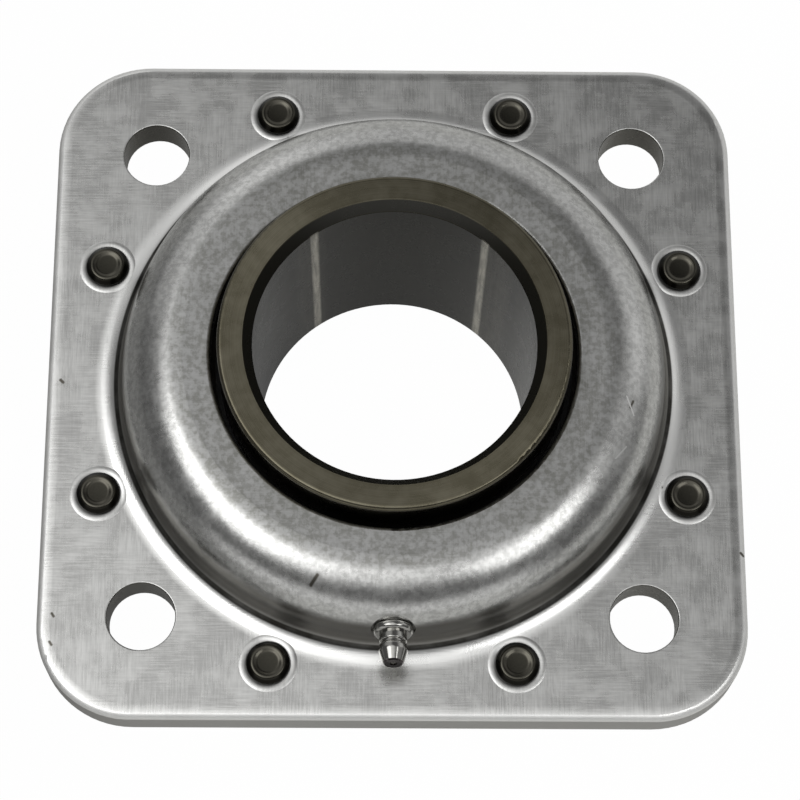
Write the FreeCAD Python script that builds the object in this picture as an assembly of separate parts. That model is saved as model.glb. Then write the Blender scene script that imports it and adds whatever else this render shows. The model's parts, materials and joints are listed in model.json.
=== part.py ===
import FreeCAD, Part
import os
from math import acos, asin, atan2, cos, degrees, hypot, pi, radians, sin, sqrt, tan

from FreeCAD import Vector

# Self-aligning ball bearing in a square flange of two pressed steel halves, riveted together.
# The origin is the middle of the bore on the plane where the halves meet. +Z is the shaft's
# axis, towards the half with the grease fitting, and -Y points towards the fitting. Sizes are mm.

# Inner ring, for a 2 3/16 inch shaft
bore_diameter = 55.575
ring_length = 55.56
ring_wall = 6.81
bore_chamfer_width = 1.8
bore_chamfer_length = 2.5
ring_edge_round = 0.9

# Balls and races
ball_diameter = 14.288
ball_count = 10
ball_play = 0.03
groove_conformity = 0.52
inner_groove_depth = 3.0
outer_groove_depth = 2.9

# Outer ring, ground to a ball outside so that it can swivel in the housing
outer_ring_wall = 4.05
outer_ring_chamfer = 0.6
seat_clearance = 0.05
swivel_limit = 3.0
ring_groove_width = 3.2
ring_groove_depth = 0.9
ring_hole_diameter = 2.2
ring_hole_count = 3

# Ball cage of two pressed ribbons
cage_thickness = 1.2
cage_side_gap = 1.1
cage_end_gap = 0.456
pocket_play = 0.2
cage_rivet_diameter = 2.0
cage_rivet_head_diameter = 3.4
cage_rivet_head_height = 0.8

# Seals pressed into the ends of the outer ring
seal_seat_depth = 4.0
seal_seat_step = 1.6
seal_sheet = 0.9
seal_recess = 0.1
seal_lip_play = 0.06
seal_lip_count = 3
seal_lip_length = 2.6
seal_lip_root_share = 0.8
seal_lip_tip_share = 0.27
shroud_gap = 1.0
shroud_play = 0.02

# Flange halves, pressed from 5/32 inch sheet
plate_thickness = 3.97
flange_corner_radius = 19.05
front_edge_round = 1.3
rear_edge_round = 0.5
bolt_hole_diameter = 13.5
bolt_hole_land = 4.0045
bolt_edge_distance = 20.4586
hole_edge_round = 0.3

# Dome around the bearing
dome_wall = 4.25
dome_headroom = 2.19
shoulder_radius = 12.6
foot_radius = 4.7
wall_lean = 0.1
inner_corner_radius = 2.0
channel_height = 5.0
opening_clearance = 0.35
lip_round = 0.8

# Rivets through both halves
rivet_count = 8
rivet_diameter = 5.2
rivet_hole_play = 0.05
rivet_head_diameter = 8.5
rivet_head_height = 1.9
rivet_rim_height = 0.7
rivet_dish_diameter = 5.4
rivet_dish_depth = 0.3
rivet_foot_gap = 0.15
coined_ring_gap = 0.1
coined_ring_width = 1.4
coined_ring_height = 0.14
coined_ring_depth = 0.15

# Grease fitting in the front half
fitting_direction = -90.0
fitting_rise = 3.0313
fitting_lean = 12.0
spot_face_depth = 0.6
spot_face_play = 0.35
fitting_shank_diameter = 6.3
fitting_shank_length = 4.0
fitting_shank_play = 0.02
collar_diameter = 7.94
collar_thickness = 1.7
collar_round = 0.8
barrel_diameter = 5.4
barrel_length = 1.6
barrel_round = 0.3
neck_diameter = 4.6
neck_length = 0.4
head_diameter = 5.7
head_flare_length = 0.4
head_land_length = 1.2
head_taper_length = 2.5
head_round = 0.9
tip_diameter = 4.1
tip_round = 0.3
fitting_bore_diameter = 2.5
tip_hole_diameter = 1.4
tip_hole_depth = 0.8
check_ball_side_gap = 0.15
check_ball_play = 0.02
crimp_hole_diameter = 1.2
crimp_length = 0.25
spring_wire_diameter = 0.3
spring_turns = 5
feed_groove_diameter = 2.6

# Two lengths closer than this are the same
same_length = 1e-6

# Sizes that follow from the ones above
bore_radius = bore_diameter / 2
ring_radius = bore_radius + ring_wall
ball_radius = ball_diameter / 2
groove_radius = groove_conformity * ball_diameter
pitch_radius = ring_radius - inner_groove_depth + ball_play + ball_radius
outer_race_radius = pitch_radius + ball_radius + ball_play
shoulder_land_radius = outer_race_radius - outer_groove_depth
insert_radius = outer_race_radius + outer_ring_wall
seat_radius = insert_radius + seat_clearance
pocket_radius = ball_radius + pocket_play
cage_half_height = pocket_radius + cage_thickness
seal_seat_radius = shoulder_land_radius + seal_seat_step
seal_seat_height = cage_half_height + cage_end_gap
insert_half_width = seal_seat_height + seal_seat_depth
swivel = radians(swivel_limit)
insert_corner_radius = sqrt(insert_radius ** 2 - insert_half_width ** 2)
swivelled_corner_height = insert_half_width * cos(swivel) + insert_corner_radius * sin(swivel)
dome_underside = swivelled_corner_height + dome_headroom
dome_top = dome_underside + plate_thickness
dome_radius = seat_radius + dome_wall
dome_foot_radius = dome_radius + foot_radius + wall_lean
shoulder_centre_radius = dome_radius - shoulder_radius
shoulder_centre_height = dome_top - shoulder_radius
opening_radius = ring_radius / cos(swivel) + dome_top * tan(swivel) + opening_clearance
rivet_circle_radius = dome_foot_radius + rivet_foot_gap + rivet_head_diameter / 2
bolt_circle_radius = dome_foot_radius + bolt_hole_land + bolt_hole_diameter / 2
flange_half_width = bolt_circle_radius / sqrt(2) + bolt_edge_distance
fitting_height = shoulder_centre_height + fitting_rise
check_ball_diameter = fitting_bore_diameter - 2 * check_ball_side_gap

up = Vector(0, 0, 1)
origin = Vector(0, 0, 0)


def at(radius, height):
    return Vector(radius, 0, height)


def on_circle(centre, radius, angle):
    return at(centre.x + radius * cos(angle), centre.z + radius * sin(angle))


def line(start, end):
    return Part.LineSegment(start, end).toShape()


def arc(centre, radius, start_angle, end_angle):
    points = [on_circle(centre, radius, angle) for angle in
              (start_angle, (start_angle + end_angle) / 2, end_angle)]
    return Part.Arc(*points).toShape()


def outline(points):
    return [line(start, end) for start, end in zip(points, points[1:])]


def turned(edges):
    """A solid turned about Z from a closed outline in the plane of X and Z."""
    return Part.Face(Part.Wire(edges)).revolve(origin, up, 360)


def around(shape, count, first_angle=0.0):
    """Copies of a shape, evenly spaced about Z."""
    copies = []
    for index in range(count):
        copy = shape.copy()
        copy.rotate(origin, up, first_angle + index * 360 / count)
        copies.append(copy)
    return copies


def turned_over(shape):
    """The same piece on the rear side: turned half a turn about X."""
    rear = shape.copy()
    rear.rotate(origin, Vector(1, 0, 0), 180)
    return rear


def circle_edges(shape, radius, height):
    """The round edges of a shape that have this radius and lie at this height."""
    return [edge for edge in shape.Edges
            if isinstance(edge.Curve, Part.Circle)
            and abs(edge.Curve.Radius - radius) < same_length
            and abs(edge.Curve.Center.z - height) < same_length]


def race_half_angle(land_radius, race_radius):
    """Half of the arc that a ball groove cuts between its two lands."""
    depth = abs(race_radius - land_radius)
    return acos((groove_radius - depth) / groove_radius)


def inner_ring():
    """The long inner ring: chamfered bore, rounded ends and a ball groove outside."""
    half_length = ring_length / 2
    bore_end = half_length - bore_chamfer_length
    face_start = bore_radius + bore_chamfer_width
    race_centre = at(ring_radius - inner_groove_depth + groove_radius, 0)
    half_angle = race_half_angle(ring_radius, ring_radius - inner_groove_depth)
    race_edge = groove_radius * sin(half_angle)
    round_radius = ring_radius - ring_edge_round
    round_height = half_length - ring_edge_round
    edges = outline([at(round_radius, -half_length), at(face_start, -half_length),
                     at(bore_radius, -bore_end), at(bore_radius, bore_end),
                     at(face_start, half_length), at(round_radius, half_length)])
    edges.append(arc(at(round_radius, round_height), ring_edge_round, pi / 2, 0))
    edges.append(line(at(ring_radius, round_height), at(ring_radius, race_edge)))
    edges.append(arc(race_centre, groove_radius, pi - half_angle, pi + half_angle))
    edges.append(line(at(ring_radius, -race_edge), at(ring_radius, -round_height)))
    edges.append(arc(at(round_radius, -round_height), ring_edge_round, 0, -pi / 2))
    return turned(edges)


def outer_ring():
    """The swivelling outer ring: round outside, ball groove, two seal seats and the grease way."""
    race_centre = at(outer_race_radius - groove_radius, 0)
    half_angle = race_half_angle(shoulder_land_radius, outer_race_radius)
    race_edge = groove_radius * sin(half_angle)
    edge_height = insert_half_width - outer_ring_chamfer
    edge_angle = atan2(edge_height, sqrt(insert_radius ** 2 - edge_height ** 2))
    face_radius = insert_corner_radius - outer_ring_chamfer
    edges = outline([on_circle(origin, insert_radius, edge_angle), at(face_radius, insert_half_width),
                     at(seal_seat_radius, insert_half_width), at(seal_seat_radius, seal_seat_height),
                     at(shoulder_land_radius, seal_seat_height), at(shoulder_land_radius, race_edge)])
    edges.append(arc(race_centre, groove_radius, half_angle, -half_angle))
    edges += outline([at(shoulder_land_radius, -race_edge), at(shoulder_land_radius, -seal_seat_height),
                      at(seal_seat_radius, -seal_seat_height), at(seal_seat_radius, -insert_half_width),
                      at(face_radius, -insert_half_width), on_circle(origin, insert_radius, -edge_angle)])
    edges.append(arc(origin, insert_radius, -edge_angle, edge_angle))
    ring = turned(edges)

    # The grease way: a groove outside, with holes to the land between the balls and the front seal
    way_height = (race_edge + seal_seat_height) / 2
    way_radius = sqrt(insert_radius ** 2 - way_height ** 2)
    groove_floor = way_radius - ring_groove_depth
    groove = Part.makeCylinder(insert_radius, ring_groove_width, at(0, way_height - ring_groove_width / 2))
    groove = groove.cut(Part.makeCylinder(groove_floor, ring_groove_width,
                                          at(0, way_height - ring_groove_width / 2)))
    hole_length = ring_groove_depth + insert_radius - shoulder_land_radius
    hole_start = at(shoulder_land_radius - ring_groove_depth, way_height)
    hole = Part.makeCylinder(ring_hole_diameter / 2, hole_length, hole_start, Vector(1, 0, 0))
    holes = around(hole, ring_hole_count, fitting_direction)
    return ring.cut([groove] + holes)


def ball_at(index):
    """One ball, in its place on the pitch circle."""
    angle = 2 * pi * index / ball_count
    place = Vector(pitch_radius * cos(angle), pitch_radius * sin(angle), 0)
    return Part.makeSphere(ball_radius, place)


def cage_half():
    """The front half of the cage: a flat ribbon with a round pocket over each ball."""
    inner_radius = ring_radius + cage_side_gap
    outer_radius = shoulder_land_radius - cage_side_gap
    band = Part.makeCylinder(outer_radius, cage_half_height).cut(
        Part.makeCylinder(inner_radius, cage_half_height))
    ribbon = Part.makeCylinder(outer_radius, cage_thickness).cut(
        Part.makeCylinder(inner_radius, cage_thickness))
    cup = Part.makeSphere(cage_half_height, at(pitch_radius, 0)).common(band)
    pocket = Part.makeSphere(pocket_radius, at(pitch_radius, 0))
    rivet_hole = Part.makeCylinder(cage_rivet_diameter / 2, cage_thickness, at(pitch_radius, 0))
    half = ribbon.fuse(around(cup, ball_count))
    half = half.cut(around(pocket, ball_count))
    half = half.cut(around(rivet_hole, ball_count, 180 / ball_count))
    return half.removeSplitter()


def cage_rivet():
    """One cage rivet between two balls, with a low round head on each side."""
    shank_radius = cage_rivet_diameter / 2
    head_radius = cage_rivet_head_diameter / 2
    crown_radius = (head_radius ** 2 + cage_rivet_head_height ** 2) / (2 * cage_rivet_head_height)
    crown_centre = at(0, cage_thickness + cage_rivet_head_height - crown_radius)
    crown_angle = atan2(cage_thickness - crown_centre.z, head_radius)
    bottom_centre = at(0, -crown_centre.z)
    edges = outline([at(head_radius, cage_thickness), at(shank_radius, cage_thickness),
                     at(shank_radius, -cage_thickness), at(head_radius, -cage_thickness)])
    edges.append(arc(bottom_centre, crown_radius, -crown_angle, -pi / 2))
    edges.append(line(at(0, -cage_thickness - cage_rivet_head_height),
                      at(0, cage_thickness + cage_rivet_head_height)))
    edges.append(arc(crown_centre, crown_radius, pi / 2, crown_angle))
    rivet = turned(edges)
    rivet.translate(at(pitch_radius, 0))
    return rivet


def seal_case():
    """The steel case of the front seal: a flat ring with a rim that is pressed into the outer ring."""
    rim_top = insert_half_width - seal_recess
    disc_top = seal_seat_height + seal_sheet
    inner_radius = (ring_radius + seal_seat_radius) / 2
    rim_radius = seal_seat_radius - seal_sheet
    points = [at(inner_radius, seal_seat_height), at(seal_seat_radius, seal_seat_height),
              at(seal_seat_radius, rim_top), at(rim_radius, rim_top), at(rim_radius, disc_top),
              at(inner_radius, disc_top)]
    return turned(outline(points + points[:1]))


def seal_lips():
    """The rubber of the front seal: a collar bonded to the case, with lips that wipe the inner ring."""
    bottom = seal_seat_height + seal_sheet
    top = insert_half_width - seal_recess - seal_sheet
    lip_root_radius = ring_radius + seal_lip_length
    outer_radius = seal_seat_radius - seal_sheet
    lip_radius = ring_radius + seal_lip_play
    pitch = (top - bottom) / seal_lip_count
    half_root = pitch * seal_lip_root_share / 2
    half_tip = pitch * seal_lip_tip_share / 2
    points = [at(outer_radius, top), at(outer_radius, bottom), at(lip_root_radius, bottom)]
    for index in range(seal_lip_count):
        middle = bottom + (index + 0.5) * pitch
        points += [at(lip_root_radius, middle - half_root), at(lip_radius, middle - half_tip),
                   at(lip_radius, middle + half_tip), at(lip_root_radius, middle + half_root)]
    points.append(at(lip_root_radius, top))
    return turned(outline(points + points[:1]))


def seal_shroud():
    """The flat steel shroud over the rubber, held inside the rim of the case."""
    top = insert_half_width - seal_recess
    outer_radius = seal_seat_radius - seal_sheet - shroud_play
    disc = Part.makeCylinder(outer_radius, seal_sheet, at(0, top - seal_sheet))
    return disc.cut(Part.makeCylinder(ring_radius + shroud_gap, seal_sheet, at(0, top - seal_sheet)))


def square_plate(edge_round):
    """The flange sheet of one half, with round corners and an outer edge rounded by the blanking."""
    straight = flange_half_width - flange_corner_radius
    edges = []
    for quarter in range(4):
        middle = Vector(straight, straight, 0)
        corner = [middle + Vector(flange_corner_radius * cos(angle), flange_corner_radius * sin(angle), 0)
                  for angle in (0, pi / 4, pi / 2)]
        side = [corner[2], Vector(-straight, flange_half_width, 0)]
        for edge in (Part.Arc(*corner).toShape(), line(*side)):
            edge.rotate(origin, up, 90 * quarter)
            edges.append(edge)
    plate = Part.Face(Part.Wire(edges)).extrude(Vector(0, 0, plate_thickness))
    rim = [edge for edge in plate.Edges
           if all(abs(vertex.Z - plate_thickness) < same_length for vertex in edge.Vertexes)]
    return plate.makeFillet(edge_round, rim)


def dome_outline():
    """The outside of the dome: a flat top, a round shoulder, a steep wall and a hollow foot."""
    shoulder_centre = at(shoulder_centre_radius, shoulder_centre_height)
    foot_centre = at(dome_foot_radius, plate_thickness + foot_radius)
    run = foot_centre - shoulder_centre
    wall_angle = atan2(run.z, run.x) + acos((shoulder_radius + foot_radius) / hypot(run.x, run.z))
    edges = [line(at(0, 0), at(0, dome_top)), line(at(0, dome_top), at(shoulder_centre.x, dome_top))]
    edges.append(arc(shoulder_centre, shoulder_radius, pi / 2, wall_angle))
    edges.append(line(on_circle(shoulder_centre, shoulder_radius, wall_angle),
                      on_circle(foot_centre, foot_radius, pi + wall_angle)))
    edges.append(arc(foot_centre, foot_radius, pi + wall_angle, 3 * pi / 2))
    edges.append(line(at(dome_foot_radius, plate_thickness), at(dome_foot_radius, 0)))
    edges.append(line(at(dome_foot_radius, 0), at(0, 0)))
    return edges


def dome_cavity():
    """The inside of the dome: a grease channel at the foot, the ball-shaped seat and a flat underside."""
    bend_radius = foot_radius + plate_thickness
    bend_centre = at(dome_foot_radius, bend_radius)
    channel_angle = pi + acos(sqrt(bend_radius ** 2 - (bend_radius - channel_height) ** 2) / bend_radius)
    seat_start = atan2(channel_height, sqrt(seat_radius ** 2 - channel_height ** 2))
    seat_end = atan2(dome_underside, sqrt(seat_radius ** 2 - dome_underside ** 2))
    edges = [line(at(0, 0), at(dome_foot_radius, 0))]
    edges.append(arc(bend_centre, bend_radius, 3 * pi / 2, channel_angle))
    edges.append(line(on_circle(bend_centre, bend_radius, channel_angle),
                      on_circle(origin, seat_radius, seat_start)))
    edges.append(arc(origin, seat_radius, seat_start, seat_end))
    edges.append(line(on_circle(origin, seat_radius, seat_end), at(0, dome_underside)))
    edges.append(line(at(0, dome_underside), at(0, 0)))
    cavity = turned(edges)
    corner = circle_edges(cavity, seat_radius * cos(seat_end), dome_underside)
    return cavity.makeFillet(inner_corner_radius, corner)


def coined_ring():
    """The low round bead that the riveting tool pressed up in the sheet around a rivet's head."""
    inner_radius = rivet_head_diameter / 2 + coined_ring_gap
    middle_radius = inner_radius + coined_ring_width / 2
    outer_radius = inner_radius + coined_ring_width
    bead_radius = (coined_ring_width ** 2 / 4 + coined_ring_height ** 2) / (2 * coined_ring_height)
    bead_centre = at(middle_radius, plate_thickness + coined_ring_height - bead_radius)
    half_angle = asin(coined_ring_width / 2 / bead_radius)
    floor = plate_thickness - coined_ring_depth
    edges = outline([at(outer_radius, plate_thickness), at(outer_radius, floor), at(inner_radius, floor),
                     at(inner_radius, plate_thickness)])
    edges.append(arc(bead_centre, bead_radius, pi / 2 + half_angle, pi / 2 - half_angle))
    ring = turned(edges)
    ring.translate(at(rivet_circle_radius, 0))
    return ring


def flange_half(edge_round):
    """One pressed half: flange, dome, opening, bolt holes and rivet holes, with its inner side at z = 0."""
    half = square_plate(edge_round).fuse(turned(dome_outline()))
    half = half.fuse(around(coined_ring(), rivet_count, 180 / rivet_count))
    opening = Part.makeCylinder(opening_radius, dome_top)
    bolt_hole = Part.makeCylinder(bolt_hole_diameter / 2, plate_thickness, at(bolt_circle_radius, 0))
    rivet_hole = Part.makeCylinder(rivet_diameter / 2 + rivet_hole_play, plate_thickness,
                                   at(rivet_circle_radius, 0))
    head_seat = Part.makeCylinder(rivet_head_diameter / 2 + coined_ring_gap, coined_ring_depth + foot_radius,
                                  at(rivet_circle_radius, plate_thickness - coined_ring_depth))
    cuts = [dome_cavity(), opening]
    cuts += around(bolt_hole, 4, 45)
    cuts += around(rivet_hole, rivet_count, 180 / rivet_count)
    cuts += around(head_seat, rivet_count, 180 / rivet_count)
    half = half.cut(cuts).removeSplitter()
    half = half.makeFillet(lip_round, circle_edges(half, opening_radius, dome_top))
    return half.makeFillet(hole_edge_round, circle_edges(half, bolt_hole_diameter / 2, plate_thickness))


def fitting_frame():
    """The grease fitting's own frame: its seat on the dome, with its axis leaning outwards and up."""
    lean = radians(fitting_lean)
    wall_radius = shoulder_centre_radius + sqrt(shoulder_radius ** 2 - fitting_rise ** 2)
    axis = Vector(0, -cos(lean), sin(lean))
    seat = Vector(0, -wall_radius, fitting_height) - axis * spot_face_depth
    return FreeCAD.Placement(seat, FreeCAD.Rotation(up, axis))


def fitted(shape):
    """A piece of the grease fitting, moved from its own frame to its place on the dome."""
    placed = shape.copy()
    placed.transformShape(fitting_frame().toMatrix())
    return placed


def front_flange():
    """The front half, with the seat and the hole of the grease fitting and its feed groove."""
    spot_radius = collar_diameter / 2 + spot_face_play
    spot_face = fitted(Part.makeCylinder(spot_radius, shoulder_radius))
    hole_radius = fitting_shank_diameter / 2 + fitting_shank_play
    hole_depth = fitting_shank_length + dome_wall
    shank_hole = fitted(Part.makeCylinder(hole_radius, hole_depth, Vector(0, 0, -hole_depth)))
    groove_circle = Part.Circle(Vector(0, -seat_radius, 0), up, feed_groove_diameter / 2)
    groove_section = Part.Face(Part.Wire(groove_circle.toShape()))
    groove_sweep = degrees(atan2(fitting_height, seat_radius))
    feed_groove = groove_section.revolve(origin, Vector(1, 0, 0), -groove_sweep)
    return flange_half(front_edge_round).cut([spot_face, shank_hole, feed_groove])


def flange_rivet():
    """One rivet through both halves: a pan head with a shallow dish on each side."""
    shank_radius = rivet_diameter / 2
    head_radius = rivet_head_diameter / 2
    dish_radius = rivet_dish_diameter / 2
    seat = plate_thickness - coined_ring_depth
    rim = seat + rivet_rim_height
    top = seat + rivet_head_height
    crown_height = rivet_head_height - rivet_rim_height
    crown_width = head_radius - dish_radius
    crown_radius = (crown_width ** 2 + crown_height ** 2) / (2 * crown_height)
    crown_centre = at(dish_radius, top - crown_radius)
    rim_angle = atan2(rim - crown_centre.z, crown_width)
    bowl_radius = (dish_radius ** 2 + rivet_dish_depth ** 2) / (2 * rivet_dish_depth)
    bowl_centre = at(0, top - rivet_dish_depth + bowl_radius)
    bowl_angle = atan2(top - bowl_centre.z, dish_radius)
    half = outline([at(0, 0), at(shank_radius, 0), at(shank_radius, seat), at(head_radius, seat),
                    at(head_radius, rim)])
    half.append(arc(crown_centre, crown_radius, rim_angle, pi / 2))
    half.append(arc(bowl_centre, bowl_radius, bowl_angle, -pi / 2))
    half.append(line(at(0, top - rivet_dish_depth), at(0, 0)))
    front = turned(half)
    rivet = front.fuse(turned_over(front)).removeSplitter()
    rivet.translate(at(rivet_circle_radius, 0))
    return rivet


def fitting_heights():
    """Heights along the fitting, from its seat: barrel, neck, head, end of the head's land, tip and bore."""
    barrel_top = collar_thickness + barrel_length
    neck_top = barrel_top + neck_length
    land_start = neck_top + head_flare_length
    land_end = land_start + head_land_length
    tip = land_end + head_taper_length
    cone_depth = (fitting_bore_diameter - tip_hole_diameter) / 2
    bore_end = tip - tip_hole_depth - cone_depth
    return barrel_top, neck_top, land_start, land_end, tip, bore_end


def check_ball_height():
    """The check ball touches the 45 degree cone at the end of the fitting's bore."""
    bore_end = fitting_heights()[-1]
    return bore_end + fitting_bore_diameter / 2 - (check_ball_diameter / 2 + check_ball_play) * sqrt(2)


def grease_fitting():
    """The turned body of the grease fitting, from its driven shank to its head, with the bore for the ball."""
    barrel_top, neck_top, land_start, land_end, tip, bore_end = fitting_heights()
    shank_radius = fitting_shank_diameter / 2
    collar_radius = collar_diameter / 2
    barrel_radius = barrel_diameter / 2
    neck_radius = neck_diameter / 2
    head_radius = head_diameter / 2
    tip_radius = tip_diameter / 2
    points = [at(0, -fitting_shank_length), at(shank_radius, -fitting_shank_length),
              at(shank_radius, 0), at(collar_radius, 0), at(collar_radius, collar_thickness),
              at(barrel_radius, collar_thickness), at(barrel_radius, barrel_top),
              at(neck_radius, barrel_top), at(neck_radius, neck_top),
              at(head_radius, land_start), at(head_radius, land_end),
              at(tip_radius, tip - tip_round), at(tip_radius - tip_round, tip), at(0, tip)]
    body = turned(outline(points + points[:1]))
    collar_edges = circle_edges(body, collar_radius, 0) + circle_edges(body, collar_radius, collar_thickness)
    body = body.makeFillet(collar_round, collar_edges)
    body = body.makeFillet(barrel_round, circle_edges(body, barrel_radius, barrel_top))
    head_edges = circle_edges(body, head_radius, land_start) + circle_edges(body, head_radius, land_end)
    body = body.makeFillet(head_round, head_edges)

    way_radius = fitting_bore_diameter / 2
    hole_radius = tip_hole_diameter / 2
    crimp_top = crimp_length - fitting_shank_length
    way = [at(0, -fitting_shank_length), at(crimp_hole_diameter / 2, -fitting_shank_length),
           at(crimp_hole_diameter / 2, crimp_top), at(way_radius, crimp_top),
           at(way_radius, bore_end), at(hole_radius, bore_end + way_radius - hole_radius),
           at(hole_radius, tip), at(0, tip)]
    return fitted(body.cut(turned(outline(way + way[:1]))))


def grease_check_ball():
    """The ball that closes the tip of the grease fitting."""
    return fitted(Part.makeSphere(check_ball_diameter / 2, at(0, check_ball_height())))


def grease_spring():
    """The coil spring that holds the check ball on its seat."""
    wire_radius = spring_wire_diameter / 2
    coil_radius = fitting_bore_diameter / 2 - wire_radius - 2 * check_ball_play
    bottom = crimp_length - fitting_shank_length + wire_radius + check_ball_play
    reach = check_ball_diameter / 2 + wire_radius + check_ball_play
    top = check_ball_height() - sqrt(reach ** 2 - coil_radius ** 2)
    length = top - bottom
    helix = Part.makeHelix(length / spring_turns, length, coil_radius)
    section = Part.Wire(Part.Circle(at(coil_radius, 0), Vector(0, 1, 0), wire_radius).toShape())
    coil = Part.Wire(helix.Edges).makePipeShell([section], True, True)
    coil.translate(at(0, bottom))
    return fitted(coil)


def group(shapes):
    """Like fasteners in one node, each its own solid."""
    return Part.makeCompound(shapes)


seal = {"seal_case": seal_case(), "seal_lips": seal_lips(), "seal_shroud": seal_shroud()}
cage = cage_half()

nodes = {
    "front_flange": front_flange(),
    "rear_flange": turned_over(flange_half(rear_edge_round)),
    "flange_rivets": group(around(flange_rivet(), rivet_count, 180 / rivet_count)),
    "outer_ring": outer_ring(),
    "inner_ring": inner_ring(),
    "front_cage": cage,
    "rear_cage": turned_over(cage),
    "cage_rivets": group(around(cage_rivet(), ball_count, 180 / ball_count)),
    "grease_fitting": grease_fitting(),
    "grease_check_ball": grease_check_ball(),
    "grease_spring": grease_spring(),
}
for name, shape in seal.items():
    nodes["front_" + name] = shape
    nodes["rear_" + name] = turned_over(shape)
for index in range(ball_count):
    nodes[f"ball_{index + 1:02d}"] = ball_at(index)

os.makedirs("parts", exist_ok=True)
for name, shape in nodes.items():
    shape.exportStep(f"parts/{name}.step")
    print(f"{name}: {len(shape.Solids)} solids, {shape.Volume:.1f} mm3, valid {shape.isValid()}")
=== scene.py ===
import bmesh
import bpy
import json
from math import cos, pi, radians, sin
from mathutils import Matrix, Vector


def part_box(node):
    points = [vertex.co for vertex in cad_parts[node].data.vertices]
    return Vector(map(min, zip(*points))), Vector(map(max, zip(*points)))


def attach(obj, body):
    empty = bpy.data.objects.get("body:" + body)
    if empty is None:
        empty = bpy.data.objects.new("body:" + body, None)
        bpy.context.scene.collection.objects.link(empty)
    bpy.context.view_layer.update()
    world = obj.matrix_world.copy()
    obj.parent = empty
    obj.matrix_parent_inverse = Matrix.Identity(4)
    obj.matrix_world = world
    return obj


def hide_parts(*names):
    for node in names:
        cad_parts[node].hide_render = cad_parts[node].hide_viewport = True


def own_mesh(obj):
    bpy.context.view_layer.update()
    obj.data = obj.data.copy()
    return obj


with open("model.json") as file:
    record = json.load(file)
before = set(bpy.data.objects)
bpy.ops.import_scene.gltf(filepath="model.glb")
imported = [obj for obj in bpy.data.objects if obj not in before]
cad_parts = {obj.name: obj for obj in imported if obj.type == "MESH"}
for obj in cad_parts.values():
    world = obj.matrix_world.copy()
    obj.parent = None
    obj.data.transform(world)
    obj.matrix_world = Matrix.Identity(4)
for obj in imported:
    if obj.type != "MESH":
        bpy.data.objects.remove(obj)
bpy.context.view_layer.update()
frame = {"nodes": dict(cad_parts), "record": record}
nodes = frame["nodes"]
scene = bpy.context.scene
scene.view_settings.view_transform = "Standard"


# Table, lights and camera
# The bearing lies on a white table under two soft lights, a large one at the left and a smaller,
# brighter one at the right in front, in a dim studio with paler walls. The camera stands at the
# photograph's angle, in front of the grease fitting and high above it.

table_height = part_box("inner_ring")[0][2]
table_half_width = 3.0
table_colour = "#dadad7"
# Painted shade: the table is painted darker towards the left, so the metal reflects it darker there
table_left_painted_shade = "#6a6a68"
table_left_shade_fade = (-0.35, -0.85)  # by the X of the direction to a place on the table
table_white_to_camera = 0.99
table_white_to_metal = 0.15

# The studio's ceiling is brightest above the left front and fades towards the right rear. The fade
# is given by the cosine of the angle from the brightest place, the edge in degrees above the table.
studio_dim = 0.135
ceiling_azimuth, ceiling_elevation = 205, 62
ceiling_fade = (0.66, 0.93)
ceiling_brightness = 1.15
ceiling_edge, ceiling_softness = 48, 10

# The walls have paler panels. Each panel: azimuth of its middle, half its width, lower and upper
# edge, how soft its edges are, all in degrees, and its brightness.
wall_panels = {
    "rear": (68, 54, -30, 38, 9, 0.46),
    "rear_left": (125, 21, 8, 54, 10, 0.42),
    "right": (12, 18, 12, 66, 10, 0.26),
    "front": (264, 50, -30, 16, 7, 0.76),
}

# Azimuth and elevation of each lamp, its distance, width, height and how bright its face is
lamps = {
    "left_softbox": (199, 57, 1.0, 0.68, 0.52, 1.6),
    "right_softbox": (325, 52, 1.0, 0.50, 0.40, 2.4),
}

camera_back = Vector((-0.01269202, -0.32799477, 0.94459428)).normalized()
camera_place = Vector((-0.005355, -0.177112, 0.501832))
camera_roll = radians(0.1)
camera_lens = 117.56
camera_sensor_width = 36.0
camera_clip_start = 0.01


def linear(code):
    """An sRGB colour such as #808080 as linear red, green, blue and alpha."""
    parts = [int(code[k:k + 2], 16) / 255 for k in (1, 3, 5)]
    return [c / 12.92 if c <= 0.04045 else ((c + 0.055) / 1.055) ** 2.4 for c in parts] + [1.0]


def add(tree, kind, inputs=None, **settings):
    """A node with its settings. An input is a value, another node or one of a node's outputs."""
    made = tree.nodes.new(kind)
    for name, value in settings.items():
        setattr(made, name, value)
    for name, value in (inputs or {}).items():
        if isinstance(value, bpy.types.Node):
            value = next(output for output in value.outputs if output.enabled)
        if isinstance(value, bpy.types.NodeSocket):
            tree.links.new(value, made.inputs[name])
        else:
            made.inputs[name].default_value = value
    return made


def bare_tree(owner):
    """The emptied node tree of a material or a world."""
    owner.use_nodes = True
    owner.node_tree.nodes.clear()
    return owner.node_tree


def towards(azimuth, elevation):
    """A direction from the bearing, in degrees from +X and above the table."""
    a, e = radians(azimuth), radians(elevation)
    return Vector((cos(e) * cos(a), cos(e) * sin(a), sin(e)))


def edge(middle, softness):
    """Where a soft edge starts and ends."""
    return middle - softness, middle + softness


def mask(tree, value, grows=None, fades=None, most=1.0):
    """Grows smoothly from 0 to most over one range of the value, and fades to 0 over another."""
    slopes = []
    for ends, at_start in ((grows, 0.0), (fades, 1.0)):
        if ends:
            slopes.append(add(tree, "ShaderNodeMapRange",
                              {"Value": value, "From Min": ends[0], "From Max": ends[1],
                               "To Min": at_start * most, "To Max": (1.0 - at_start) * most},
                              interpolation_type="SMOOTHSTEP"))
            most = 1.0
    if len(slopes) == 1:
        return slopes[0]
    return add(tree, "ShaderNodeMath", {0: slopes[0], 1: slopes[1]}, operation="MULTIPLY")


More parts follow.
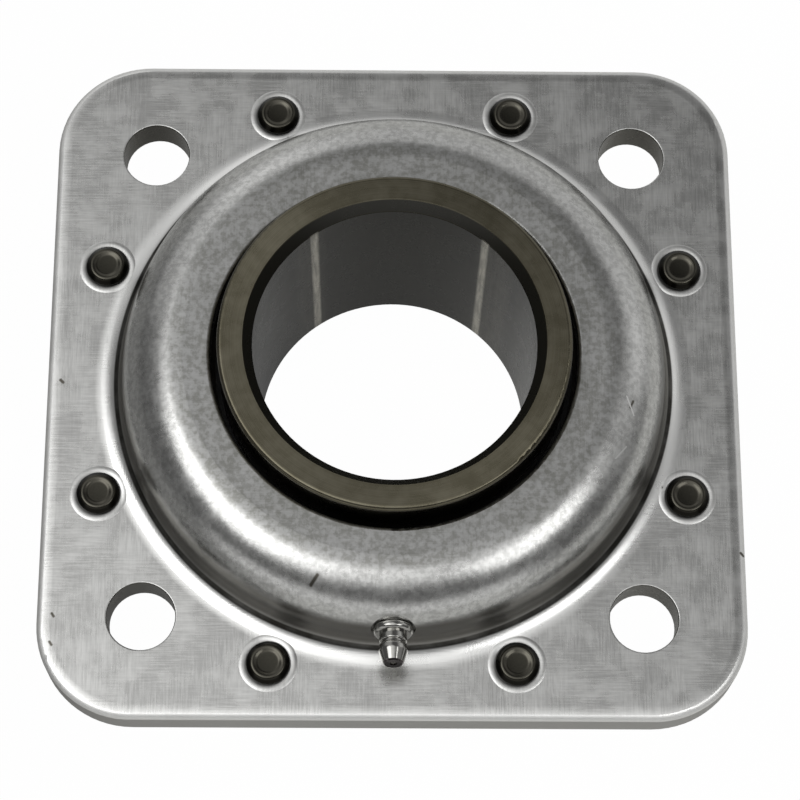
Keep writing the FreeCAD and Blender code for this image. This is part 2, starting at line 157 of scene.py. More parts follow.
def weighed(tree, start, *shares):
    """start plus shares, each a value times its weight, so that one share on 0 is a product."""
    total = start
    for value, weight in shares:
        total = add(tree, "ShaderNodeMath", {0: value, 1: weight, 2: total}, operation="MULTIPLY_ADD")
    return total


def coated(tree, tone, *coats):
    """A colour under coats, each with a mask that is 1 where it covers, and its colour."""
    for covers, coat in coats:
        under, over = (linear(colour) if isinstance(colour, str) else colour for colour in (tone, coat))
        tone = add(tree, "ShaderNodeMix", {0: covers, 6: under, 7: over}, data_type="RGBA")
    return tone


# Matt grey-white laminate. The camera sees it near white, polished metal a little lighter than it is
# lit; the rest of its light is the lamps' own, so the bearing's soft shadow stays on it.
laminate = bpy.data.materials.new("matt_white_laminate")
tree = bare_tree(laminate)
path = add(tree, "ShaderNodeLightPath").outputs
mirrored = add(tree, "ShaderNodeMath", {0: path["Is Glossy Ray"], 1: path["Is Transmission Ray"]},
               operation="MAXIMUM")
seen = weighed(tree, 0.0, (mirrored, table_white_to_metal), (path["Is Camera Ray"], table_white_to_camera))
outward = add(tree, "ShaderNodeTexCoord").outputs["Object"]
outward = add(tree, "ShaderNodeVectorMath", {0: outward}, operation="NORMALIZE")
outward = add(tree, "ShaderNodeSeparateXYZ", {0: outward}).outputs
# The left of the table is painted darker, a painted shade that the metal reflects
top = coated(tree, table_colour, (mask(tree, outward["X"], grows=table_left_shade_fade), table_left_painted_shade))
lit = add(tree, "ShaderNodeBsdfDiffuse", {"Color": top})
white = add(tree, "ShaderNodeEmission", {"Color": linear("#ffffff"), "Strength": 1.0})
mixed = add(tree, "ShaderNodeMixShader", {0: seen, 1: lit, 2: white})
add(tree, "ShaderNodeOutputMaterial", {"Surface": mixed})

table_mesh = bpy.data.meshes.new("table")
table_mesh.from_pydata([(x * table_half_width, y * table_half_width, table_height)
                        for x, y in ((-1, -1), (1, -1), (1, 1), (-1, 1))], [], [(0, 1, 2, 3)])
table_mesh.materials.append(laminate)
table = bpy.data.objects.new("table", table_mesh)
scene.collection.objects.link(table)

# The studio, as an even grey with the ceiling and the panels added; the camera sees it white
world = bpy.data.worlds.new("studio")
scene.world = world
tree = bare_tree(world)
direction = add(tree, "ShaderNodeTexCoord").outputs["Generated"]
rise = add(tree, "ShaderNodeSeparateXYZ", {0: direction}).outputs["Z"]
nearness = add(tree, "ShaderNodeVectorMath",
               {0: direction, 1: towards(ceiling_azimuth, ceiling_elevation)}, operation="DOT_PRODUCT")
ceiling = add(tree, "ShaderNodeMapRange", {"Value": nearness, "From Min": ceiling_fade[0],
                                           "From Max": ceiling_fade[1], "To Max": ceiling_brightness})
above = mask(tree, rise, grows=[sin(radians(angle)) for angle in edge(ceiling_edge, ceiling_softness)])
light = weighed(tree, studio_dim, (ceiling, above))
level = add(tree, "ShaderNodeVectorMath", {0: direction, 1: (1, 1, 0)}, operation="MULTIPLY")
level = add(tree, "ShaderNodeVectorMath", {0: level}, operation="NORMALIZE")
for azimuth, half_width, lower, upper, softness, brightness in wall_panels.values():
    facing = add(tree, "ShaderNodeVectorMath", {0: level, 1: towards(azimuth, 0)}, operation="DOT_PRODUCT")
    across = mask(tree, facing, grows=[cos(radians(angle)) for angle in edge(half_width, -softness)],
                  most=brightness)
    upward = mask(tree, rise, grows=[sin(radians(angle)) for angle in edge(lower, softness)],
                  fades=[sin(radians(angle)) for angle in edge(upper, softness)])
    light = weighed(tree, light, (across, upward))
path = add(tree, "ShaderNodeLightPath").outputs
strength = add(tree, "ShaderNodeMix", {0: path["Is Camera Ray"], 2: light, 3: 1.0}, data_type="FLOAT")
sky = add(tree, "ShaderNodeBackground", {"Color": linear("#ffffff"), "Strength": strength})
add(tree, "ShaderNodeOutputWorld", {"Surface": sky})

for name, (azimuth, elevation, distance, width, height, brightness) in lamps.items():
    data = bpy.data.lights.new(name, "AREA")
    data.shape = "RECTANGLE"
    data.size = width
    data.size_y = height
    data.energy = brightness * pi * width * height
    lamp = bpy.data.objects.new(name, data)
    lamp.location = towards(azimuth, elevation) * distance
    lamp.rotation_euler = lamp.location.to_track_quat("Z", "Y").to_euler()
    scene.collection.objects.link(lamp)

level_right = (-camera_back).cross(Vector((0, 1, 0))).normalized()
level_up = level_right.cross(-camera_back)
rolled_right = cos(camera_roll) * level_right + sin(camera_roll) * level_up
rolled_up = cos(camera_roll) * level_up - sin(camera_roll) * level_right
camera = bpy.data.objects.new("camera", bpy.data.cameras.new("camera"))
camera.data.lens = camera_lens
camera.data.sensor_width = camera_sensor_width
camera.data.clip_start = camera_clip_start
camera.matrix_world = Matrix((rolled_right, rolled_up, camera_back)).transposed().to_4x4()
camera.location = camera_place
scene.collection.objects.link(camera)
scene.camera = camera


# Flange halves
# Two halves pressed from 4 mm mild steel sheet, each with a deep round dome, then zinc plated. The
# flat sheet keeps the crossing lines of rolling and brushing. The dome is duller and mottled on
# top and rubbed smooth over its shoulder. Its wall is painted dark as shade, and painted shade,
# mottled like old grease, lies in the crease at its foot.

# The circle of the rivets in metres, and the first one's azimuth in degrees
rivet_circle_radius = 0.0634955
rivet_first_angle = 22.5

# Where the parts of the sheet lie, in millimetres. A pair is where a mask starts and where it ends.
# Out from the middle of a bolt hole or a rivet:
bolt_hole_place = (49.39, 49.39, 0.0)
bolt_hole_edge = (6.90, 6.80)
bead_inside, bead_outside, bead_softness = 4.35, 5.75, 0.15
seam_black, seam_grey = (4.27, 4.37), (4.25, 4.90)

# In from the sheet's edge, whose corners are round: its sheared side, the band painted pale as a
# painted highlight along the rounded edge, the rougher one, and the round that shearing rolled over
corner_centre = (50.8, 50.8, 0.0)
corner_radius = 19.05
side_depth = (0.02, 0.12)
edge_highlight_band = (0.5, 2.4)
edge_rough = (0.7, 1.3)
edge_roll = (0.0, 3.0)

# Up from the plane where the halves meet
front_side = (2.0, 2.5)
crease_low, crease_high, crease_height_softness = 4.2, 7.0, 0.3
foot_highlight_heights = (5.2, 5.6)
dome_starts = (5.0, 7.0)
wall_low, wall_high, wall_softness = 5.2, 13.5, 1.4
dome_top_starts = (21.2, 21.55)

# Out from the bore's axis
wall_radii = (51.5, 53.5)
crease_inside, crease_outside, crease_softness = 55.45, 56.35, 0.15
# The foot's pale band is a painted highlight
foot_highlight_grows, foot_highlight_fades = (56.2, 56.6), (58.6, 60.4)
foot_ramp = (57.4, 60.4)

# Rises of the form and of the patterns on it, in metres
foot_rise = 0.00016
edge_roll_depth = 0.00022
relief_depth = 0.000003

# Sizes of the patterns in millimetres, and how much of each the sheet shows. Real rolling lines are
# finer; these are as coarse as they need to be to show.
streak_length, streak_width = 5.5, 0.32
streak_least, streak_most = 0.3, 1.5
patch_size, mottle_size, dome_grain_size = 16.0, 6.0, 1.1
patch_contrast, mottle_contrast, line_contrast = (0.42, 0.58), (0.34, 0.66), (0.36, 0.64)
sheet_shade, streak_shade, mottle_shade = 0.08, 0.19, 0.38
dome_grain_shade, dome_sheet_shade = 0.45, 0.45
bead_light, edge_highlight_share = 0.25, 0.8
seam_share = 0.5
shade_and_grime_least, shade_and_grime_patches = 0.75, 0.2
sheet_roughness = 0.25
rougher = {"mottle": 0.05, "top": 0.12, "wall": 0.10, "bead": 0.08, "edge": 0.28}
mottle_relief = 3.0
dome_streaks_lost = 0.9

sheet_dark, sheet_light = "#a8a8a6", "#dcdcda"
dome_top_dark, dome_top_light = "#84847f", "#bababa"
# The wall's darker colour is painted shade
wall_painted_shade = "#7c7a75"
# A painted highlight along the sheet's rounded edge
edge_highlight_colour = "#f0f0ee"
sheared_colour = "#a9a8a5"
# Painted shade inside the bolt holes
hole_wall_painted_shade = "#6f6d66"
# A pale colour: the painted highlight on the dome's foot, a paler bead round each rivet, and bright
# scratches
pale_highlight_and_scratch_colour = "#e6e6e4"
# Painted shade, mottled like grime, for the crease and round the rivets
shade_and_grime_colour = "#26241f"
nick_colour = "#615e57"

# Nicks in the edges and the dome, and bright scratches beside one, each from a start to an end seen
# from the front, and half its width, in millimetres. A mark is full up to the first share of its
# half width and gone at the second.
nicks = [((-15.8, -46.9), (-14.6, -45.3), 0.40), ((68.9, -35.9), (69.4, -36.4), 0.30),
         ((-67.2, -0.4), (-66.7, -0.9), 0.35), ((-66.8, -48.9), (-66.4, -49.5), 0.30),
         ((-67.0, -54.6), (-66.6, -55.2), 0.30), ((46.7, -9.8), (46.1, -11.2), 0.25)]
scratches = [((45.4, -9.0), (46.8, -12.6), 0.16), ((43.0, -21.5), (45.2, -18.9), 0.16)]
mark_full, mark_gone = 0.4, 1.3


def new_material(name):
    """A new material and its empty tree."""
    material = bpy.data.materials.new(name)
    return material, bare_tree(material)


def cover(tree, inputs):
    """Ends a material's tree with its one shader."""
    shader = add(tree, "ShaderNodeBsdfPrincipled", inputs)
    add(tree, "ShaderNodeOutputMaterial", {"Surface": shader})


def finish_in(material, *names):
    """These CAD pieces are shown in this material."""
    for name in names:
        mesh = nodes[name].data
        mesh.materials.clear()
        mesh.materials.append(material)


def millimetres(tree):
    """Where a point of the piece lies, in millimetres."""
    place = add(tree, "ShaderNodeTexCoord").outputs["Object"]
    return add(tree, "ShaderNodeVectorMath", {0: place, "Scale": 1000.0}, operation="SCALE")


def pattern(tree, place, size, detail=3.0, roughness=0.6):
    """Noise whose patches are about this size in millimetres, or have a size along each axis."""
    scale = [1.0 / length for length in (size if isinstance(size, tuple) else (size,) * 3)]
    stretched = add(tree, "ShaderNodeMapping", {"Vector": place, "Scale": scale})
    return add(tree, "ShaderNodeTexNoise", {"Vector": stretched, "Scale": 1.0, "Detail": detail,
                                            "Roughness": roughness})


def height_of(tree, place):
    """Distance from the plane where the halves meet, alike on both halves."""
    z = add(tree, "ShaderNodeSeparateXYZ", {0: place}).outputs["Z"]
    return add(tree, "ShaderNodeMath", {0: z}, operation="ABSOLUTE")


def flat_from(tree, place, centre=(0, 0, 0)):
    """Distance from a point, or from the bore's axis, seen along the bore."""
    gap = add(tree, "ShaderNodeVectorMath", {0: place, 1: centre}, operation="SUBTRACT")
    gap = add(tree, "ShaderNodeVectorMath", {0: gap, 1: (1, 1, 0)}, operation="MULTIPLY")
    return add(tree, "ShaderNodeVectorMath", {0: gap}, operation="LENGTH")


def folded(tree, place):
    """A place folded into one of the four alike quarters, and into one of the eight alike eighths."""
    quarter = add(tree, "ShaderNodeVectorMath", {0: place}, operation="ABSOLUTE")
    sides = add(tree, "ShaderNodeSeparateXYZ", {0: quarter}).outputs
    longer, shorter = (add(tree, "ShaderNodeMath", {0: sides["X"], 1: sides["Y"]}, operation=which)
                       for which in ("MAXIMUM", "MINIMUM"))
    return quarter, add(tree, "ShaderNodeCombineXYZ", {"X": longer, "Y": shorter})


def line_mark(tree, place, start, end, half_width):
    """1 on a short straight line, fading to 0 at its sides and ends."""
    run = Vector((end[0] - start[0], end[1] - start[1], 0))
    away = add(tree, "ShaderNodeVectorMath", {0: place, 1: (*start, 0)}, operation="SUBTRACT")
    share = add(tree, "ShaderNodeVectorMath", {0: away, 1: run / run.length_squared},
                operation="DOT_PRODUCT")
    share = add(tree, "ShaderNodeClamp", {"Value": share})
    nearest = add(tree, "ShaderNodeVectorMath", {0: run, "Scale": share}, operation="SCALE")
    gap = flat_from(tree, away, nearest)
    return mask(tree, gap, fades=(half_width * mark_full, half_width * mark_gone))


# Zinc plate on rolled sheet: bright satin with crossing lines and soft cloudy patches, with painted
# highlights on its rounded edge and the dome's foot, and painted shade on the dome's wall, in the
# bolt holes, and, mottled like grime, in the crease and round the rivets
zinc, tree = new_material("zinc_plated_pressed_steel_sheet")
place = millimetres(tree)
height = height_of(tree, place)
radius = flat_from(tree, place)
quarter, eighth = folded(tree, place)
rivet_place = towards(rivet_first_angle, 0) * rivet_circle_radius * 1000
from_bolt_hole = flat_from(tree, quarter, bolt_hole_place)
from_rivet = flat_from(tree, eighth, rivet_place)
past_corner = add(tree, "ShaderNodeVectorMath", {0: quarter, 1: corner_centre}, operation="SUBTRACT")
past_corner = add(tree, "ShaderNodeVectorMath", {0: past_corner, 1: (0, 0, 0)}, operation="MAXIMUM")
from_edge = weighed(tree, corner_radius, (flat_from(tree, past_corner), -1.0))

# The lines run along X in some patches and along Y in others, and cross between them
along_x = pattern(tree, place, (streak_length, streak_width, streak_length))
along_y = pattern(tree, place, (streak_width, streak_length, streak_length))
turn = mask(tree, pattern(tree, place, patch_size, detail=2.0, roughness=0.5), grows=patch_contrast)
streaks = weighed(tree, 0.0, (mask(tree, along_x, grows=line_contrast),
                              weighed(tree, streak_least, (turn, streak_most - streak_least))),
                  (mask(tree, along_y, grows=line_contrast),
                   weighed(tree, streak_most, (turn, streak_least - streak_most))))
mottle = mask(tree, pattern(tree, place, mottle_size, detail=4.0), grows=mottle_contrast)
grain = mask(tree, pattern(tree, place, dome_grain_size), grows=line_contrast)

on_dome = mask(tree, height, grows=dome_starts)
on_top = mask(tree, height, grows=dome_top_starts)
on_wall = weighed(tree, 0.0, (mask(tree, height, grows=edge(wall_low, wall_softness),
                                   fades=edge(wall_high, wall_softness)),
                              mask(tree, radius, grows=wall_radii)))
# The painted highlight on the dome's foot
foot_highlight = weighed(tree, 0.0, (mask(tree, radius, grows=foot_highlight_grows, fades=foot_highlight_fades),
                              mask(tree, height, fades=foot_highlight_heights)))
on_bead = mask(tree, from_rivet, grows=edge(bead_inside, bead_softness),
               fades=edge(bead_outside, bead_softness))
crease = weighed(tree, 0.0, (mask(tree, radius, grows=edge(crease_inside, crease_softness),
                                  fades=edge(crease_outside, crease_softness)),
                             mask(tree, height, grows=edge(crease_low, crease_height_softness),
                                  fades=edge(crease_high, crease_height_softness))))
# Painted shade, mottled like grime: in the crease at the dome's foot, and round each rivet over the dark
# joint and the bead's inner slope
shade_and_grime = weighed(tree, crease, (mask(tree, from_rivet, fades=seam_black), seam_share),
                (mask(tree, from_rivet, fades=seam_grey), seam_share))
shade_and_grime = weighed(tree, 0.0, (shade_and_grime, weighed(tree, shade_and_grime_least, (mottle, shade_and_grime_patches))))
on_front = mask(tree, add(tree, "ShaderNodeSeparateXYZ", {0: place}).outputs["Z"], grows=front_side)

flat_shade = weighed(tree, sheet_shade, (streaks, streak_shade), (mottle, mottle_shade))
dome_shade = weighed(tree, 0.0, (grain, dome_grain_shade), (flat_shade, dome_sheet_shade))
shade = add(tree, "ShaderNodeMix", {0: on_dome, 2: flat_shade, 3: dome_shade}, data_type="FLOAT")
# Among the coats, the wall and the bolt holes get painted shade, and the foot and the edge get painted
# highlights
coats = [(on_top, coated(tree, dome_top_dark, (shade, dome_top_light))),
         (on_wall, wall_painted_shade),
         (foot_highlight, pale_highlight_and_scratch_colour),
         (weighed(tree, 0.0, (on_bead, bead_light)), pale_highlight_and_scratch_colour),
         (mask(tree, from_edge, fades=edge_highlight_band, most=edge_highlight_share), edge_highlight_colour),
         (mask(tree, from_edge, fades=side_depth), sheared_colour),
         (mask(tree, from_bolt_hole, grows=bolt_hole_edge), hole_wall_painted_shade),
         (shade_and_grime, shade_and_grime_colour)]
for marks, colour in ((nicks, nick_colour), (scratches, pale_highlight_and_scratch_colour)):
    for start, end, half_width in marks:
        mark = line_mark(tree, place, start, end, half_width)
        coats.append((weighed(tree, 0.0, (mark, on_front)), colour))
tone = coated(tree, coated(tree, sheet_dark, (shade, sheet_light)), *coats)
rough = weighed(tree, sheet_roughness, (mottle, rougher["mottle"]), (on_top, rougher["top"]),
                (on_wall, rougher["wall"]), (on_bead, rougher["bead"]),
                (mask(tree, from_edge, fades=edge_rough), rougher["edge"]))
form = weighed(tree, mask(tree, radius, fades=foot_ramp),
               (mask(tree, from_edge, grows=edge_roll), edge_roll_depth / foot_rise))
form = add(tree, "ShaderNodeBump", {"Height": form, "Distance": foot_rise})
relief = weighed(tree, 0.0, (streaks, weighed(tree, 1.0, (on_dome, -dome_streaks_lost))),
                 (mottle, mottle_relief))
relief = add(tree, "ShaderNodeBump", {"Height": relief, "Distance": relief_depth, "Normal": form})
cover(tree, {"Base Color": tone, "Metallic": 1.0, "Roughness": rough, "Normal": relief})
finish_in(zinc, "front_flange", "rear_flange")


# Inner ring
# The long inner ring of ball-bearing steel, turned and ground, with a thin film of oil that gives
# it an olive-brown tone. Its bore is painted darker as shade, with two painted highlights in stripes,
# and its chamfer is nearly black from hardening.

ring_face_colour, ring_face_worn = "#5b5749", "#6f6b5d"
# The bore's darker colours are painted shade
ring_bore_painted_shade, ring_bore_shade_worn = "#33322c", "#2b2a25"
ring_chamfer_colour = "#2a2924"
ring_chamfer_scale = 0.5  # how much of the chamfer is black scale, which is no metal
# The colour of the painted highlight stripes in the bore
ring_bore_highlight_colour = "#d6d2c6"

# Radii in millimetres, each where the mask of the bore or of the chamfer starts and ends
ring_bore_edge = (27.85, 27.95)
ring_chamfer_edge = (29.4, 29.55)

# Sizes of the patterns in millimetres, their depth in metres, and how much of each the ring shows
turning_pitch, turning_depth = 0.22, 0.000002
film_size = 5.0
film_contrast = (0.35, 0.68)
turning_share, film_share = 0.4, 0.6
wear_sizes = (0.8, 0.8, 7.0)
wear_contrast, wear_least = (0.3, 0.7), 0.5
ring_roughness, film_roughness = 0.22, 0.12
ring_turned_shine = 0.85

# Azimuth of each painted highlight stripe in the bore, half its width in degrees, and how much it
# shows. It is full up to the first share of its half width and gone at the second.
ring_bore_highlight_stripes = ((50, 1.6, 1.0), (125, 1.6, 1.0), (43, 8.0, 0.10), (128, 6.0, 0.06))
stripe_full, stripe_gone = 0.4, 1.5

# Ground steel under oil: a brown satin whose highlights are drawn out across the turning. A pattern
# by radius and height runs in rings round the bore, as turning and grinding leave it.
oiled, tree = new_material("ground_bearing_steel_oiled")
place = millimetres(tree)
radius = flat_from(tree, place)
rings = add(tree, "ShaderNodeCombineXYZ", {"X": radius, "Y": height_of(tree, place)})
turning = pattern(tree, rings, turning_pitch, detail=2.0)
film = pattern(tree, place, film_size, detail=4.0)
worn = weighed(tree, 0.0, (turning, turning_share), (film, film_share))
wear = mask(tree, pattern(tree, place, wear_sizes), grows=wear_contrast)
wear = weighed(tree, wear_least, (wear, 1.0 - wear_least))
in_bore = mask(tree, radius, fades=ring_bore_edge)
in_chamfer = weighed(tree, mask(tree, radius, fades=ring_chamfer_edge), (in_bore, -1.0))
toward = add(tree, "ShaderNodeVectorMath", {0: place, 1: (1, 1, 0)}, operation="MULTIPLY")
toward = add(tree, "ShaderNodeVectorMath", {0: toward}, operation="NORMALIZE")
# The bore's painted shade, with painted highlight stripes over it
bore_shade_and_highlights = coated(tree, ring_bore_shade_worn, (wear, ring_bore_painted_shade))
for azimuth, half_width, share in ring_bore_highlight_stripes:
    facing = add(tree, "ShaderNodeVectorMath", {0: toward, 1: towards(azimuth, 0)}, operation="DOT_PRODUCT")
    # A painted highlight stripe at a set azimuth
    rub_and_highlight = mask(tree, facing, grows=(cos(radians(half_width * stripe_gone)),
                                       cos(radians(half_width * stripe_full))), most=share)
    bore_shade_and_highlights = coated(tree, bore_shade_and_highlights, (weighed(tree, 0.0, (rub_and_highlight, wear)), ring_bore_highlight_colour))
tone = coated(tree, ring_face_colour, (mask(tree, worn, grows=film_contrast), ring_face_worn),
              (in_chamfer, ring_chamfer_colour), (in_bore, bore_shade_and_highlights))
relief = add(tree, "ShaderNodeBump", {"Height": turning, "Distance": turning_depth})
lathe = add(tree, "ShaderNodeTangent", direction_type="RADIAL", axis="Z")
cover(tree, {"Base Color": tone, "Metallic": weighed(tree, 1.0, (in_chamfer, -ring_chamfer_scale)),
             "Roughness": weighed(tree, ring_roughness, (film, film_roughness)),
             "Anisotropic": ring_turned_shine, "Tangent": lathe, "Normal": relief})
finish_in(oiled, "inner_ring")


# Outer ring and balls
# The swivelling outer ring and the ten balls are ground ball-bearing steel, bright and smooth
# except for the fine lines of the grinding wheel. Little of them shows past the seals.

# Sizes in millimetres, depths in metres
wheel_line_pitch, wheel_line_depth = 0.3, 0.000001
ground_cloud_size = 4.0
ground_dark, ground_light = "#b4b2ac", "#cdccc8"
ground_roughness, wheel_line_roughness = 0.14, 0.12

# Ground steel: a clear grey mirror, barely clouded
ground, tree = new_material("ground_bearing_steel")
place = millimetres(tree)
rings = add(tree, "ShaderNodeCombineXYZ", {"X": flat_from(tree, place), "Y": height_of(tree, place)})
wheel_lines = pattern(tree, rings, wheel_line_pitch, detail=2.0)
cloud = pattern(tree, place, ground_cloud_size, roughness=0.5)
cover(tree, {"Base Color": coated(tree, ground_dark, (cloud, ground_light)), "Metallic": 1.0,
             "Roughness": weighed(tree, ground_roughness, (wheel_lines, wheel_line_roughness)),
             "Normal": add(tree, "ShaderNodeBump", {"Height": wheel_lines, "Distance": wheel_line_depth})})
balls = [name for name in nodes if name.startswith("ball_")]
finish_in(ground, "outer_ring", "grease_check_ball", *balls)


# Ball cage
# Two ribbons pressed from thin steel strip, riveted together between the balls. The strip keeps
# the satin of rolling and a stain of old grease in its pockets.

# Sizes in millimetres, depths in metres
strip_colour, strip_stain_colour = "#8f8b82", "#6b6450"
strip_stain_size, strip_stain_contrast = 3.0, (0.4, 0.65)
strip_satin_size, strip_satin_depth = 0.3, 0.000004
strip_roughness, strip_satin_roughness = 0.25, 0.2

# Rolled strip: a fine even satin, browner where grease has dried
strip, tree = new_material("pressed_steel_strip")
place = millimetres(tree)
stain = mask(tree, pattern(tree, place, strip_stain_size, detail=4.0), grows=strip_stain_contrast)
satin = pattern(tree, place, strip_satin_size, detail=2.0, roughness=0.5)
cover(tree, {"Base Color": coated(tree, strip_colour, (stain, strip_stain_colour)), "Metallic": 1.0,
             "Roughness": weighed(tree, strip_roughness, (satin, strip_satin_roughness)),
             "Normal": add(tree, "ShaderNodeBump", {"Height": satin, "Distance": strip_satin_depth})})
finish_in(strip, "front_cage", "rear_cage", "cage_rivets")


# Seals
# A steel case and a flat shroud at each end, phosphated black, with moulded nitrile rubber between
# them whose three lips wipe the inner ring. The rubber shows the fine grain of its mould and dust.

# Sizes in millimetres, depths in metres. The crystals and the mould's grain are drawn coarser than
# the real ones, so that they show.
phosphate_colour, phosphate_rubbed_colour = "#23221f", "#3a3833"
phosphate_rubbed_size, phosphate_rubbed_contrast = 6.0, (0.45, 0.7)
crystal_size, crystal_depth = 0.25, 0.000008
phosphate_roughness, crystal_roughness = 0.40, 0.25
rubber_colour, rubber_dust_colour = "#1b1b1b", "#33312e"
rubber_dust_size, rubber_dust_contrast = 2.5, (0.5, 0.8)
mould_grain_size, mould_grain_depth = 0.2, 0.00001
rubber_roughness, mould_grain_roughness = 0.5, 0.2
rubber_ior = 1.52

# Phosphate coat: dull black crystals, greyer where they are rubbed
phosphate, tree = new_material("phosphated_steel_shroud")
place = millimetres(tree)
crystals = pattern(tree, place, crystal_size)
rub_and_highlight = pattern(tree, place, phosphate_rubbed_size, detail=4.0)
rub_and_highlight = mask(tree, rub_and_highlight, grows=phosphate_rubbed_contrast)
cover(tree, {"Base Color": coated(tree, phosphate_colour, (rub_and_highlight, phosphate_rubbed_colour)),
             "Metallic": 1.0, "Roughness": weighed(tree, phosphate_roughness, (crystals, crystal_roughness)),
             "Normal": add(tree, "ShaderNodeBump", {"Height": crystals, "Distance": crystal_depth})})
finish_in(phosphate, "front_seal_case", "rear_seal_case", "front_seal_shroud", "rear_seal_shroud")

# Moulded rubber: a soft black sheen under a little dust
rubber, tree = new_material("moulded_nitrile_rubber")
place = millimetres(tree)
mould_grain = pattern(tree, place, mould_grain_size)
dust = pattern(tree, place, rubber_dust_size, detail=5.0, roughness=0.65)
dust = mask(tree, dust, grows=rubber_dust_contrast)
cover(tree, {"Base Color": coated(tree, rubber_colour, (dust, rubber_dust_colour)), "IOR": rubber_ior,
             "Roughness": weighed(tree, rubber_roughness, (mould_grain, mould_grain_roughness)),
             "Normal": add(tree, "ShaderNodeBump", {"Height": mould_grain, "Distance": mould_grain_depth})})
finish_in(rubber, "front_seal_lips", "rear_seal_lips")


# Flange rivets
# Eight steel rivets through both halves, blackened before riveting. The riveting tool left each
# head a low pan with sloping sides and a shallow dish in it, rubbed on its crest. A bead pressed up
# in the sheet rings it.

# Sizes in metres
rivet_count = 8
rivet_shank_radius = 0.0026
rivet_head_radius = 0.00425
rivet_head_seat = 0.00382
rivet_head_height = 0.0017
rivet_rim_height = 0.0006
rivet_floor_radius = 0.0019
rivet_crest_radius = 0.0030
rivet_dish_depth = 0.0003
rivet_crest_round = 0.0007
rivet_flank_slope = radians(48)
rivet_sides = 64
rivet_arc_steps = 8
sharp_from = radians(32)
merge_distance = 0.0000001

# Finish: colours, and where the crest and the flank start and end in millimetres from the middle
rivet_dark, rivet_light = "#35342f", "#45433c"
# The flank's black is painted shade on the steep side
rivet_crest_colour, rivet_flank_painted_shade = "#504e47", "#1d1c19"
crest_inside, crest_outside, crest_softness = 2.0, 3.3, 0.3
flank_shade_starts = (3.3, 3.8)
scale_mark_size, scale_mark_depth = 0.4, 0.000004
rivet_roughness, scale_mark_roughness = 0.17, 0.10


def rivet_profile():
    """Half of a rivet's outline from its middle plane to the bottom of the dish, as radius and height."""
    top = rivet_head_seat + rivet_head_height
    rim = rivet_head_seat + rivet_rim_height
    outline = [(rivet_shank_radius, 0.0), (rivet_shank_radius, rivet_head_seat),
               (rivet_head_radius, rivet_head_seat), (rivet_head_radius, rim)]
    for step in range(rivet_arc_steps + 1):
        angle = rivet_flank_slope * (1 - step / rivet_arc_steps)
        outline.append((rivet_crest_radius + rivet_crest_round * sin(angle),
                        top - rivet_crest_round * (1 - cos(angle))))
    for step in range(1, rivet_arc_steps + 1):
        radius = rivet_crest_radius + (rivet_floor_radius - rivet_crest_radius) * step / rivet_arc_steps
        outline.append((radius, top - rivet_dish_depth * (1 - cos(pi * step / rivet_arc_steps)) / 2))
    outline.append((0.0, top - rivet_dish_depth))
    return outline


def spun(name, outline, sides):
    """A closed mesh turned about Z from an outline of radius and height that starts and ends on Z."""
    bm = bmesh.new()
    chain = [bm.verts.new((radius, 0, height)) for radius, height in outline]
    edges = [bm.edges.new(pair) for pair in zip(chain, chain[1:])]
    bmesh.ops.spin(bm, geom=chain + edges, axis=(0, 0, 1), cent=(0, 0, 0), steps=sides, angle=2 * pi)
    bmesh.ops.remove_doubles(bm, verts=bm.verts, dist=merge_distance)
    bmesh.ops.recalc_face_normals(bm, faces=bm.faces)
    mesh = bpy.data.meshes.new(name)
    bm.to_mesh(mesh)
    bm.free()
    mesh.shade_smooth()
    mesh.set_sharp_from_angle(angle=sharp_from)
    return mesh


def around_the_bore():
    """A geometry tree that sets copies of a mesh on a circle round Z, and its inputs' identifiers."""
    tree = bpy.data.node_groups.new("around_the_bore", "GeometryNodeTree")
    kinds = {"One piece": "Geometry", "Count": "Int", "Circle radius": "Float", "First angle": "Float",
             "Finish": "Material"}
    sockets = {name: tree.interface.new_socket(name=name, in_out="INPUT", socket_type="NodeSocket" + kind)
               for name, kind in kinds.items()}
    tree.interface.new_socket(name="All pieces", in_out="OUTPUT", socket_type="NodeSocketGeometry")
    given = add(tree, "NodeGroupInput").outputs
    circle = add(tree, "GeometryNodeMeshCircle",
                 {"Vertices": given["Count"], "Radius": given["Circle radius"]})
    turn = add(tree, "ShaderNodeCombineXYZ", {"Z": given["First angle"]})
    turned = add(tree, "GeometryNodeTransform", {"Geometry": circle, "Rotation": turn})
    placed = add(tree, "GeometryNodeInstanceOnPoints", {"Points": turned, "Instance": given["One piece"]})
    real = add(tree, "GeometryNodeRealizeInstances", {"Geometry": placed})
    dressed = add(tree, "GeometryNodeSetMaterial", {"Geometry": real, "Material": given["Finish"]})
    add(tree, "NodeGroupOutput", {0: dressed})
    return tree, {name: socket.identifier for name, socket in sockets.items()}


def repeated(name, one_piece, settings):
    """A plain mesh object of a piece repeated by the tree around_the_bore."""
    source = bpy.data.objects.new(name + "_source", one_piece)
    scene.collection.objects.link(source)
    modifier = source.modifiers.new("around_the_bore", "NODES")
    tree, ids = around_the_bore()
    modifier.node_group = tree
    for key, value in settings.items():
        modifier[ids[key]] = value
    depsgraph = bpy.context.evaluated_depsgraph_get()
    made = bpy.data.meshes.new_from_object(source.evaluated_get(depsgraph))
    piece = bpy.data.objects.new(name, made)
    scene.collection.objects.link(piece)
    bpy.data.objects.remove(source)
    return piece


# Blackened steel: a dark oily sheen, browner on the rubbed crest, with painted shade making the flank black
blackened, tree = new_material("blackened_steel_rivet")
place = millimetres(tree)
scale_marks = pattern(tree, place, scale_mark_size)
from_middle = flat_from(tree, folded(tree, place)[1], rivet_place)
on_crest = mask(tree, from_middle, grows=edge(crest_inside, crest_softness),
                fades=edge(crest_outside, crest_softness))
